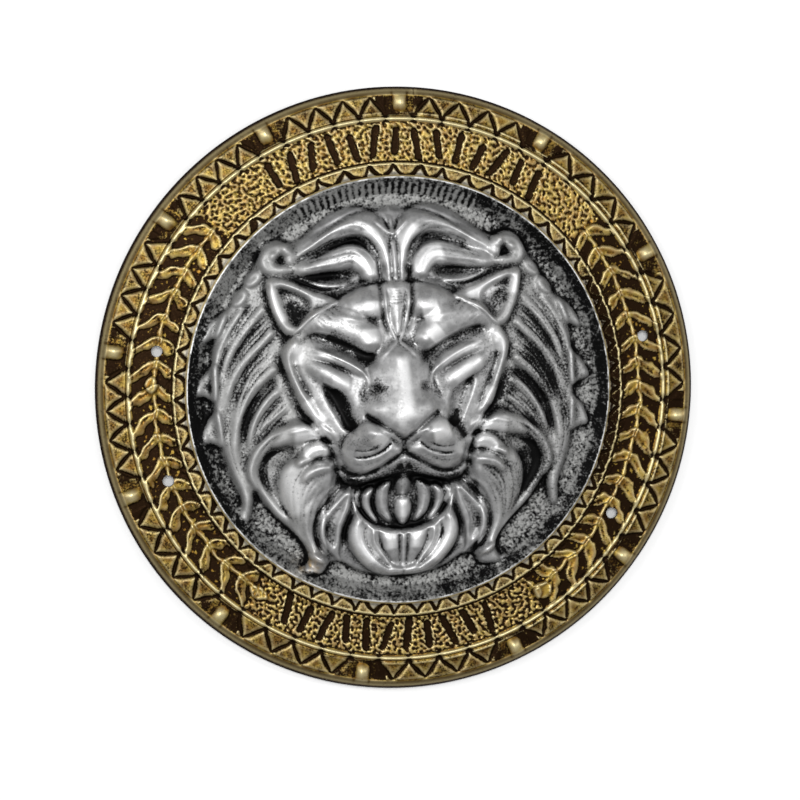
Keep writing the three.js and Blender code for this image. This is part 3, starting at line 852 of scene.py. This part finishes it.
def add_lip(zone, patchy):
    """The smooth dull lip outside the teeth, with a small nick just right of the top."""
    lip = smooth((zone.radius - 194.2) / 0.8) * (1 - smooth((zone.height - 11) / 1.5))
    crease = zone.radius - LIP_FOOT
    zone.dull = np.clip(zone.dull + lip, 0, 1)
    zone.height -= 0.25 * bell(crease, 0.5)
    nick = bell(zone.arc(87.2), 0.6) * smooth((zone.radius - 194.5) / 1.0)
    zone.height -= 0.7 * nick
    zone.rub_and_highlight += 0.4 * nick
    # wash on the lip and in its crease, and painted shade where the lip turns down at its outer edge
    zone.wash_and_shade += 0.08 * lip * patchy + 0.15 * bell(crease, 0.6) + 0.9 * smooth((zone.radius - 198.4) / 0.8)


def add_bead(zone):
    """The bead that rings the band, notched where two teeth meet, and the thin one outside it."""
    thin = smooth(0.5 + 0.8 * np.cos(np.radians(zone.angle))) * bell(zone.radius - THIN_BEAD_RADIUS, 0.6)
    zone.height += 1.6 * bell(zone.radius - BEAD_RADIUS, 1.15) + 0.7 * thin
    zone.wash_and_shade -= 0.5 * bell(zone.radius - BEAD_RADIUS, 1.5)
    # a painted highlight runs along it, over a wider strip along the top of the shield
    top = smooth(1.6 * np.sin(np.radians(zone.angle)) - 0.5)
    zone.rub_and_highlight += 0.85 * bell(zone.radius - BEAD_RADIUS + 0.2, 1.0 + 0.8 * top) + 0.4 * thin
    place = tooth_places(zone.angle)
    gap = np.abs(place - np.clip(np.round(place), 0, TEETH)) * 9.5
    notch = bell(gap, 1.1) * between(zone.radius, BEAD_FOOT, 183.2, 1.0)
    zone.height -= 1.5 * notch
    zone.wash_and_shade += notch + 0.5 * bell(zone.radius - BEAD_FOOT, 0.7)


def floor_of_band(zone):
    """1 on the sunk floor between the inner border and the bead."""
    return between(zone.radius, FLOOR_LOW, FLOOR_HIGH, 0.8)


def add_garland(zone, first, last, side):
    """Two rows of slanting leaves on a thin stem, over dark ground with a few gold specks."""
    turn = (zone.angle - first) % 360
    inside = between(turn, 0, last - first, 1.2)
    wander = zone.grain(7)
    away = zone.radius - STEM_RADIUS + 0.5 * zone.grain(8)
    slant = np.where(away > 0, 0.26, 0.21)
    phase = (turn + side * slant * np.abs(away) + 0.2 * wander) / LEAF_PITCH
    length = np.where(away > 0, away / OUTER_LEAF, -away / INNER_LEAF)
    half = 0.18 + 0.13 * np.sin(np.pi * np.clip(length, 0, 1)) + 0.05 * zone.grain(5)
    across = ((phase % 1) - 0.24) / half
    on_leaf = (np.abs(across) < 1) * inside
    row = between(length, 0, 1.25, 0.08, 0.1)
    leaf = np.clip(1 - np.abs(across) ** 3, 0, 1) ** 0.7 * row * on_leaf
    slit = bell(across + 0.15, 0.24) * between(length, 0.2, 0.8, 0.2) * on_leaf
    edge = bell(np.abs(across + 0.1 * side) - 0.72, 0.22) * row * on_leaf
    stem = bell(away, 1.0 + 0.7 * np.cos(phase * 2 * np.pi) ** 2) * inside
    zone.height += leaf * (1.4 + 0.35 * across * side) - 0.3 * slit + 0.15 * edge + 1.2 * stem
    speck = zone.grain(1.8)
    bare = (1 - smooth(leaf * 1.8)) * (1 - smooth(stem * 1.6)) * inside * floor_of_band(zone)
    zone.wash_and_shade += (1.0 - 0.6 * np.clip(speck - 0.7, 0, 1.5)) * bare + 0.22 * slit
    zone.wash_and_shade += leaf * (0.1 * np.clip(speck, 0, 2) + 0.14 * np.clip(wander, -1, 2) + 0.1)
    return inside


def add_buds(zone):
    """A pointed bud at the foot of each garland, and a binding half-way up the left one."""
    for centre, radius, long, wide in BUDS:
        reach = np.abs(zone.arc(centre) / long) ** 1.6 + np.abs((zone.radius - radius) / wide) ** 1.6
        bud = smooth((1 - reach) * 2.2)
        zone.height += 1.6 * bud
        zone.wash_and_shade -= 1.2 * bud


def add_pebbles(zone, weight, winding):
    """Winding gold ridges over a dark ground."""
    ridge = smooth((winding + 0.8) / 1.3)
    zone.height += weight * (0.6 * ridge - 0.3)
    zone.wash_and_shade += weight * (0.1 + 0.5 * (1 - smooth((winding + 1.05) / 1.1)))


def stroke_marks(zone, first, last, count):
    """Where a row of sunk strokes lies: 1 on a stroke and 0 between. Each leans its own way."""
    marks = np.zeros_like(zone.height)
    rough = 0.2 * zone.grain(3)
    lean = [0.12, -0.2, 0.25, 0.0, -0.28, 0.16, -0.08, 0.3, -0.16]
    for k in range(count):
        centre = first + (last - first) * (k + 0.5) / count
        tilt = lean[(k * 4 + count) % len(lean)]
        middle = 163.0 + (1.0 if k % 3 else -1.0)
        half = 8.5 - 1.5 * (k % 2)
        along = zone.radius - middle
        off = np.abs(zone.arc(centre) - tilt * along)
        beyond = np.clip(np.abs(along) - half, 0, None)
        marks = np.maximum(marks, smooth((2.8 + rough - np.hypot(off, beyond)) / 0.9))
    return marks


def add_scallops(zone):
    """The inner border: gold scallops between dark arrowheads, each with a silver fleck at its foot."""
    drift = 0.1 * np.sin(np.radians(zone.angle + 58)) * SCALLOPS / (2 * np.pi)
    place = SCALLOPS * zone.angle / 360 + drift + 0.05 * zone.grain(7)
    off = np.abs(place - np.round(place)) * 2
    line = SCALLOP_RIM - SCALLOP_DEPTH * (1 - np.clip(1 - off / 0.8, 0, 1) ** 1.25)
    inside = between(zone.radius, 141.6, 149.8, 0.5, 0.6)
    groove = bell(np.abs(zone.radius - line) * 0.6, 0.75) * inside * (off < 0.9)
    scallop = smooth((zone.radius - line - 0.6) / 1.0) * inside
    fleck = smooth((line - zone.radius - 2.5) / 0.8) * inside
    stipple = zone.grain(1.4)
    zone.height += 0.6 * scallop - 0.7 * groove + 0.5 * fleck + 0.06 * stipple * scallop
    zone.height += 0.5 * bell(zone.radius - 149.4, 0.6) - 0.6 * bell(zone.radius - 150.9, 0.6)
    zone.wash_and_shade += 0.9 * groove + 0.6 * inside * (1 - scallop) * (1 - fleck)
    zone.wash_and_shade += scallop * (0.06 + 0.3 * smooth((zone.radius - line - 2.5) / 4) + 0.06 * stipple)
    zone.wash_and_shade += 0.8 * bell(zone.radius - 151.0, 0.7)
    # on the right the scallops are almost filled with painted shade
    turn = (zone.angle + 180) % 360 - 180
    in_shade = smooth((turn + 30) / 10) * smooth((36 - turn) / 10) * smooth((zone.radius - 142.0) / 0.5)
    zone.wash_and_shade += 0.7 * in_shade * smooth((149.0 - zone.radius) / 0.8)
    zone.rub_and_highlight += 0.6 * bell(zone.radius - 149.6, 0.7) + 0.15 * scallop
    zone.silver += fleck * 0.8 + smooth((141.5 - zone.radius) / 0.4)
    zone.dull += 0.35 * inside


def make_band():
    """The gold band: two garlands, pebbled panels with strokes, the scalloped inner border and the bead."""
    zone = Annulus(DISH_EDGE, BAND_EDGE, BAND_STEPS, BAND_RINGS)
    leafy = np.zeros_like(zone.height)
    for first, last, side in GARLANDS:
        leafy = np.maximum(leafy, add_garland(zone, first, last, side))
    winding = worms(zone.height.shape, zone.cell, 2.2)
    pebbled = floor_of_band(zone) * (1 - leafy)
    marks = np.zeros_like(zone.height)
    for first, last, count in STROKE_ROWS:
        marks = np.maximum(marks, stroke_marks(zone, first, last, count))
    marks = marks * pebbled
    add_pebbles(zone, pebbled * (1 - marks), winding)
    # the pebbled panels are painted lighter towards the top of the shield and darker towards the bottom
    zone.wash_and_shade -= 0.14 * pebbled * np.sin(np.radians(zone.angle))
    zone.height -= 1.3 * marks
    zone.wash_and_shade += marks
    fringe = between(zone.radius, 150.8, 154.5, 0.8, 1.5) * leafy
    add_pebbles(zone, 0.6 * fringe, winding)
    add_buds(zone)
    add_scallops(zone)
    add_bead(zone)
    zone.settle()
    return zone


def make_border():
    """The toothed border: the teeth and studs, the plain lip, and the thin bead with its notches."""
    zone = Annulus(BAND_EDGE, OUTER_RADIUS, BORDER_STEPS, BORDER_RINGS)
    patchy = zone.grain(4)
    add_teeth(zone, patchy)
    add_studs(zone)
    add_lip(zone, patchy)
    add_bead(zone)
    zone.settle()
    return zone


# ---------------------------------------------------------------- meshes
def ring(radius, count, height):
    """A ring of points, counter-clockwise from +X; height is a number or a function of x and y."""
    angle = np.arange(count) * 2 * np.pi / count
    x, y = radius * np.cos(angle), radius * np.sin(angle)
    z = height(x, y) if callable(height) else np.full(count, float(height))
    return np.column_stack([x, y, z])


def stitch(first, second, a, b, faces):
    """Triangles between two rings of a and b points that start at those numbers."""
    i = j = 0
    while i < a or j < b:
        if (j + 1) * a <= (i + 1) * b and j < b:
            faces.append((first + i % a, second + j, second + (j + 1) % b))
            j += 1
        else:
            if a > 1:
                faces.append((first + i, second + j % b, first + (i + 1) % a))
            i += 1


def loft(rings, closed):
    """Points and triangles of a body whose skin runs through the rings in turn, and each one's first ring."""
    faces, starts, sides = [], [], []
    total = 0
    for points in rings:
        starts.append(total)
        total += len(points)
    for k in range(len(rings) - (0 if closed else 1)):
        after = (k + 1) % len(rings)
        if len(rings[after]) == 1:
            last = len(rings[k])
            faces += [(starts[after], starts[k] + (n + 1) % last, starts[k] + n) for n in range(last)]
        else:
            stitch(starts[k], starts[after], len(rings[k]), len(rings[after]), faces)
        sides += [k] * (len(faces) - len(sides))
    return np.vstack(rings), faces, np.array(sides)


def make_piece(name, fronts, backs, closed, paint):
    """A solid piece: its skin has the paint between its front rings, and is bare sheet from there on."""
    points, faces, sides = loft(fronts + backs, closed)
    mesh = bpy.data.meshes.new(name)
    mesh.from_pydata((points * MM).tolist(), [], faces)
    mesh.materials.append(paint)
    mesh.materials.append(sheet)
    bare = (sides >= len(fronts) - 1).astype(np.int32)
    mesh.polygons.foreach_set("material_index", bare)
    piece = bpy.data.objects.new(name, mesh)
    bpy.context.scene.collection.objects.link(piece)
    return piece


def finish_mesh(piece, zone, fields):
    """Smooth shading with sharp edges where paint meets bare sheet, and the zone's fields as attributes."""
    mesh = piece.data
    mesh.polygons.foreach_set("use_smooth", np.ones(len(mesh.polygons), dtype=bool))
    bare = np.zeros(len(mesh.polygons), dtype=np.int32)
    mesh.polygons.foreach_get("material_index", bare)
    sizes = np.zeros(len(mesh.polygons), dtype=np.int32)
    mesh.polygons.foreach_get("loop_total", sizes)
    edge_of_corner = np.zeros(len(mesh.loops), dtype=np.int32)
    mesh.loops.foreach_get("edge_index", edge_of_corner)
    bare_corners = np.bincount(edge_of_corner, np.repeat(bare, sizes), len(mesh.edges))
    mesh.edges.foreach_set("use_edge_sharp", bare_corners == 1)
    places = np.zeros(len(mesh.vertices) * 3)
    mesh.vertices.foreach_get("co", places)
    x, y, _ = places.reshape(-1, 3).T / MM
    for name in fields:
        values = mesh.attributes.new(name, "FLOAT", "POINT")
        values.data.foreach_set("value", zone.at(getattr(zone, name), x, y).astype(np.float32))
    mesh.update()


def cut_strap_holes(piece):
    """Drills the four strap holes through the band; their walls are bare sheet."""
    for number, (x, y) in enumerate(STRAP_HOLES):
        top, foot = (ring(STRAP_HOLE_RADIUS, 48, height) + (x, y, 0) for height in (24, 0))
        top_centre, foot_centre = (np.array([[x, y, height]], dtype=float) for height in (24, 0))
        drill = make_piece(f"drill_{number}", [], [top_centre, top, foot, foot_centre], False, gold_paint)
        cut = piece.modifiers.new("strap hole", "BOOLEAN")
        cut.operation, cut.object, cut.solver = "DIFFERENCE", drill, "EXACT"
        bpy.context.view_layer.update()
        piece_with_hole = piece.evaluated_get(bpy.context.evaluated_depsgraph_get())
        mesh = bpy.data.meshes.new_from_object(piece_with_hole)
        piece.modifiers.clear()
        piece.data = mesh
        bpy.data.objects.remove(drill)


# ---------------------------------------------------------------- materials
def linear(hex_colour):
    """An sRGB hex colour as linear red, green, blue and alpha."""
    channels = [int(hex_colour[k:k + 2], 16) / 255 for k in (1, 3, 5)]
    return tuple(c / 12.92 if c <= 0.04045 else ((c + 0.055) / 1.055) ** 2.4 for c in channels) + (1.0,)


def add(tree, kind, settings=None, inputs=None):
    """Adds a node; an input is a value, or the output socket that feeds it."""
    node = tree.nodes.new(kind)
    for name, value in (settings or {}).items():
        setattr(node, name, value)
    for name, value in (inputs or {}).items():
        if isinstance(value, bpy.types.NodeSocket):
            tree.links.new(value, node.inputs[name])
        else:
            node.inputs[name].default_value = value
    return node


def new_material(name):
    """An empty node material, and its node tree."""
    material = bpy.data.materials.new(name)
    material.use_nodes = True
    material.node_tree.nodes.clear()
    return material, material.node_tree


def antiqued_paint(name, paint, thin_paint, rubbed_and_highlight_paint, wash_and_shade, dull_wash, overlap, overlap_field, speckle):
    """Sprayed metallic paint under a dark wash, wiped off the high places and nearly black in the hollows,
    with painted shade laid into the wash and painted highlights onto the rubbed places.

    The paint's flakes give soft metallic highlights, duller where wash was left in a thin film. Where the
    shield's other paint overlaps this one, it shows instead.
    """
    material, tree = new_material(name)
    where = add(tree, "ShaderNodeTexCoord").outputs["Object"]
    fields = {key: add(tree, "ShaderNodeAttribute", {"attribute_name": key}).outputs["Fac"]
              for key in ("wash_and_shade", "rub_and_highlight", overlap_field, "dull")}
    # the wash and its painted shade break up into specks, coarser than the real ones so that they show, and
    # into 14 mm clouds
    specks = add(tree, "ShaderNodeTexNoise", {"noise_dimensions": "3D"},
                 {"Vector": where, "Scale": 1 / (1.4 * MM), "Detail": 3.0, "Roughness": 0.6}).outputs["Fac"]
    clouds = add(tree, "ShaderNodeTexNoise", {"noise_dimensions": "3D"},
                 {"Vector": where, "Scale": 1 / (14 * MM), "Detail": 2.0, "Roughness": 0.5}).outputs["Fac"]
    speckled = add(tree, "ShaderNodeMath", {"operation": "MULTIPLY_ADD"},
                   {0: specks, 1: speckle, 2: fields["wash_and_shade"]}).outputs[0]
    clouded = add(tree, "ShaderNodeMath", {"operation": "MULTIPLY_ADD"},
                  {0: clouds, 1: 0.3, 2: speckled}).outputs[0]
    amount = add(tree, "ShaderNodeMapRange", {"interpolation_type": "SMOOTHSTEP"},
                 {"Value": clouded, "From Min": 0.23 + speckle / 2,
                  "From Max": 0.95 + speckle / 2}).outputs["Result"]
    # 5 mm clouds of a duller shade, where the sprayed coat is thin
    thin = add(tree, "ShaderNodeTexNoise", {"noise_dimensions": "3D"},
               {"Vector": where, "Scale": 1 / (5 * MM), "Detail": 2.0}).outputs["Fac"]
    thinned = add(tree, "ShaderNodeMapRange", {"interpolation_type": "SMOOTHSTEP"},
                  {"Value": thin, "From Min": 0.36, "From Max": 0.62}).outputs["Result"]
    colour = add(tree, "ShaderNodeMix", {"data_type": "RGBA"},
                 {"Factor": thinned, 6: linear(paint), 7: linear(thin_paint)}).outputs[2]
    # the other paint, the dull places, the rubbed places with their painted highlights, and the wash with its
    # painted shade, laid on in turn
    for factor, layer in ((fields[overlap_field], overlap), (fields["dull"], dull_wash),
                          (fields["rub_and_highlight"], rubbed_and_highlight_paint), (amount, wash_and_shade)):
        colour = add(tree, "ShaderNodeMix", {"data_type": "RGBA"},
                     {"Factor": factor, 6: colour, 7: linear(layer)}).outputs[2]
    glossy = add(tree, "ShaderNodeMapRange", {},
                 {"Value": specks, "From Min": 0.3, "From Max": 0.7,
                  "To Min": 0.4, "To Max": 0.56}).outputs["Result"]
    roughness = add(tree, "ShaderNodeMath", {"operation": "MULTIPLY_ADD"},
                    {0: fields["dull"], 1: 0.2, 2: glossy}).outputs[0]
    # the sprayed coat's orange peel, 0.9 mm across
    orange_peel = add(tree, "ShaderNodeTexNoise", {"noise_dimensions": "3D"},
                      {"Vector": where, "Scale": 1 / (0.9 * MM), "Detail": 2.0}).outputs["Fac"]
    bump = add(tree, "ShaderNodeBump", {}, {"Height": orange_peel, "Strength": 0.35, "Distance": 0.12 * MM})
    shader = add(tree, "ShaderNodeBsdfPrincipled", {},
                 {"Base Color": colour, "Metallic": 0.92, "Roughness": roughness,
                  "Normal": bump.outputs["Normal"]})
    add(tree, "ShaderNodeOutputMaterial", {}, {"Surface": shader.outputs["BSDF"]})
    return material


def bare_sheet():
    """Unpainted black-brown polystyrene sheet, formed over a mould: a satin, faintly dimpled inner face."""
    material, tree = new_material("bare polystyrene sheet")
    where = add(tree, "ShaderNodeTexCoord").outputs["Object"]
    # dimples of 2.5 mm, and 30 mm clouds where handling has scuffed the gloss
    dimples = add(tree, "ShaderNodeTexNoise", {"noise_dimensions": "3D"},
                  {"Vector": where, "Scale": 1 / (2.5 * MM), "Detail": 3.0}).outputs["Fac"]
    scuffs = add(tree, "ShaderNodeTexNoise", {"noise_dimensions": "3D"},
                 {"Vector": where, "Scale": 1 / (30 * MM), "Detail": 4.0}).outputs["Fac"]
    colour = add(tree, "ShaderNodeMix", {"data_type": "RGBA"},
                 {"Factor": scuffs, 6: linear("#1C1916"), 7: linear("#35302A")}).outputs[2]
    roughness = add(tree, "ShaderNodeMapRange", {},
                    {"Value": scuffs, "To Min": 0.38, "To Max": 0.6}).outputs["Result"]
    bump = add(tree, "ShaderNodeBump", {}, {"Height": dimples, "Strength": 0.3, "Distance": 0.2 * MM})
    shader = add(tree, "ShaderNodeBsdfPrincipled", {},
                 {"Base Color": colour, "Roughness": roughness, "IOR": 1.59,
                  "Normal": bump.outputs["Normal"]})
    add(tree, "ShaderNodeOutputMaterial", {}, {"Surface": shader.outputs["BSDF"]})
    return material


# the rubbed colour is also that of the painted highlights, and the wash colour that of the painted shade
gold_paint = antiqued_paint("antiqued gold paint",
                            paint="#9A813A", thin_paint="#78571F", rubbed_and_highlight_paint="#DACD9E",
                            wash_and_shade="#1A0C00", dull_wash="#544325",
                            overlap="#B4B4AE", overlap_field="silver", speckle=1.7)
silver_paint = antiqued_paint("antiqued silver paint",
                              paint="#A8A8A8", thin_paint="#929292", rubbed_and_highlight_paint="#FCFCFC",
                              wash_and_shade="#0E0E0E", dull_wash="#969694",
                              overlap="#A9873F", overlap_field="gilt", speckle=1.4)
sheet = bare_sheet()


# ---------------------------------------------------------------- the three pieces of the shield
def make_lion_dish():
    """The silver dish with the lion's head, hollow behind."""
    dish = Dish()

    def front(x, y):
        return dish.at(dish.height, x, y)

    def back(x, y):
        return dish.at(dish.back, x, y)

    # the outermost rings crowd together, to draw the crest as a thin line
    crest_rings = 4
    spread = DISH_EDGE - 1.0
    fronts = [ring(0, 1, front)]
    for k in range(1, DISH_RINGS + 1):
        from_edge = DISH_RINGS - k
        if from_edge < crest_rings:
            radius = DISH_EDGE - 0.35 * from_edge
        else:
            radius = spread * k / (DISH_RINGS - crest_rings + 0.5)
        fronts.append(ring(radius, 6 * k, front))
    backs = [ring(DISH_EDGE * k / DISH_BACK_RINGS, 6 * k, back) for k in range(DISH_BACK_RINGS, 0, -1)]
    backs.append(ring(0, 1, back))
    piece = make_piece("lion_dish", fronts, backs, False, silver_paint)
    finish_mesh(piece, dish, ("wash_and_shade", "rub_and_highlight", "gilt", "dull"))
    return piece


def plain_back(radius):
    """Height of the sheet's back behind the band, where the relief doesn't show through."""
    return float(profile(radius)) - SHEET


def make_gold_band():
    """The gold band, with its strap holes."""
    band = make_band()
    back_radii = (BAND_EDGE, 178, 176, 164, 152, 150.5, 143, DISH_EDGE)
    backs = [ring(radius, BACK_STEPS, plain_back(radius)) for radius in back_radii]
    piece = make_piece("gold_band", band.front_rings(), backs, True, gold_paint)
    cut_strap_holes(piece)
    finish_mesh(piece, band, ("wash_and_shade", "rub_and_highlight", "silver", "dull"))
    return piece


def make_toothed_rim():
    """The toothed border, down to the flat foot that the shield rests on."""
    border = make_border()
    # the flat foot, and the hollow behind the teeth
    back_profile = [(OUTER_RADIUS, 0), (RIM_FOOT_RADIUS, 0), (196.4, 6.4), (193, 8.5), (187, 8.7),
                    (BAND_EDGE, plain_back(BAND_EDGE))]
    backs = [ring(radius, BACK_STEPS, height) for radius, height in back_profile]
    piece = make_piece("toothed_rim", border.front_rings(), backs, True, gold_paint)
    finish_mesh(piece, border, ("wash_and_shade", "rub_and_highlight", "silver", "dull"))
    return piece


for piece, slot in ((make_lion_dish(), "silver_paint"), (make_gold_band(), "gold_paint"),
                    (make_toothed_rim(), "gold_paint")):
    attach(piece, "root")
    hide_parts("shield_shell")


# ---------------------------------------------------------------- floor, light and camera, in metres
VIEW_WIDTH = 0.533
CAMERA_DISTANCE = 1.7
CAMERA_SIDE = Vector((-0.15, 0.07, 1))      # from a little left of and above the shield
AIMED_AT = Vector((0.002, -0.0073, 0))
FLOOR_HALF = 3.0


def make_floor():
    """A wide matt white floor under the shield."""
    corners = [(x * FLOOR_HALF, y * FLOOR_HALF, 0) for x, y in ((-1, -1), (1, -1), (1, 1), (-1, 1))]
    mesh = bpy.data.meshes.new("floor")
    mesh.from_pydata(corners, [], [(0, 1, 2, 3)])
    floor = bpy.data.objects.new("floor", mesh)
    bpy.context.scene.collection.objects.link(floor)
    material, tree = new_material("matt white floor")
    shader = add(tree, "ShaderNodeBsdfPrincipled", {}, {"Base Color": linear("#F4F4F4"), "Roughness": 0.9})
    add(tree, "ShaderNodeOutputMaterial", {}, {"Surface": shader.outputs["BSDF"]})
    mesh.materials.append(material)


def aim(thing, place, target, up):
    """Puts a lamp or camera at place, looking at target, with up towards the top of its picture."""
    back = (Vector(place) - Vector(target)).normalized()
    right = Vector(up).cross(back).normalized()
    turn = Matrix((right, back.cross(right), back)).transposed()
    thing.matrix_world = Matrix.Translation(place) @ turn.to_4x4()


def softbox(name, place, size, power):
    """A round lamp of that size in metres, turned to the shield."""
    lamp = bpy.data.lights.new(name, "AREA")
    lamp.shape, lamp.size, lamp.energy = "DISK", size, power
    holder = bpy.data.objects.new(name, lamp)
    bpy.context.scene.collection.objects.link(holder)
    aim(holder, place, (0, 0, 0.02), (0.1, 1, 0.1))


make_floor()
softbox("key softbox", (-0.33, 0.33, 2.3), 0.7, 33)
softbox("left softbox", (-1.3, 0.5, 1.2), 0.6, 6)
softbox("right softbox", (1.5, 0.3, 1.3), 0.5, 6)

world = bpy.data.worlds.new("studio")
world.use_nodes = True
world.node_tree.nodes["Background"].inputs["Color"].default_value = (1, 1, 1, 1)
world.node_tree.nodes["Background"].inputs["Strength"].default_value = 0.45
bpy.context.scene.world = world
bpy.context.scene.view_settings.view_transform = "Standard"

camera = bpy.data.objects.new("camera", bpy.data.cameras.new("camera"))
bpy.context.scene.collection.objects.link(camera)
camera.data.sensor_width = 36
camera.data.lens = camera.data.sensor_width * CAMERA_DISTANCE / VIEW_WIDTH
aim(camera, AIMED_AT + CAMERA_DISTANCE * CAMERA_SIDE.normalized(), AIMED_AT, (0, 1, 0))
bpy.context.scene.camera = camera
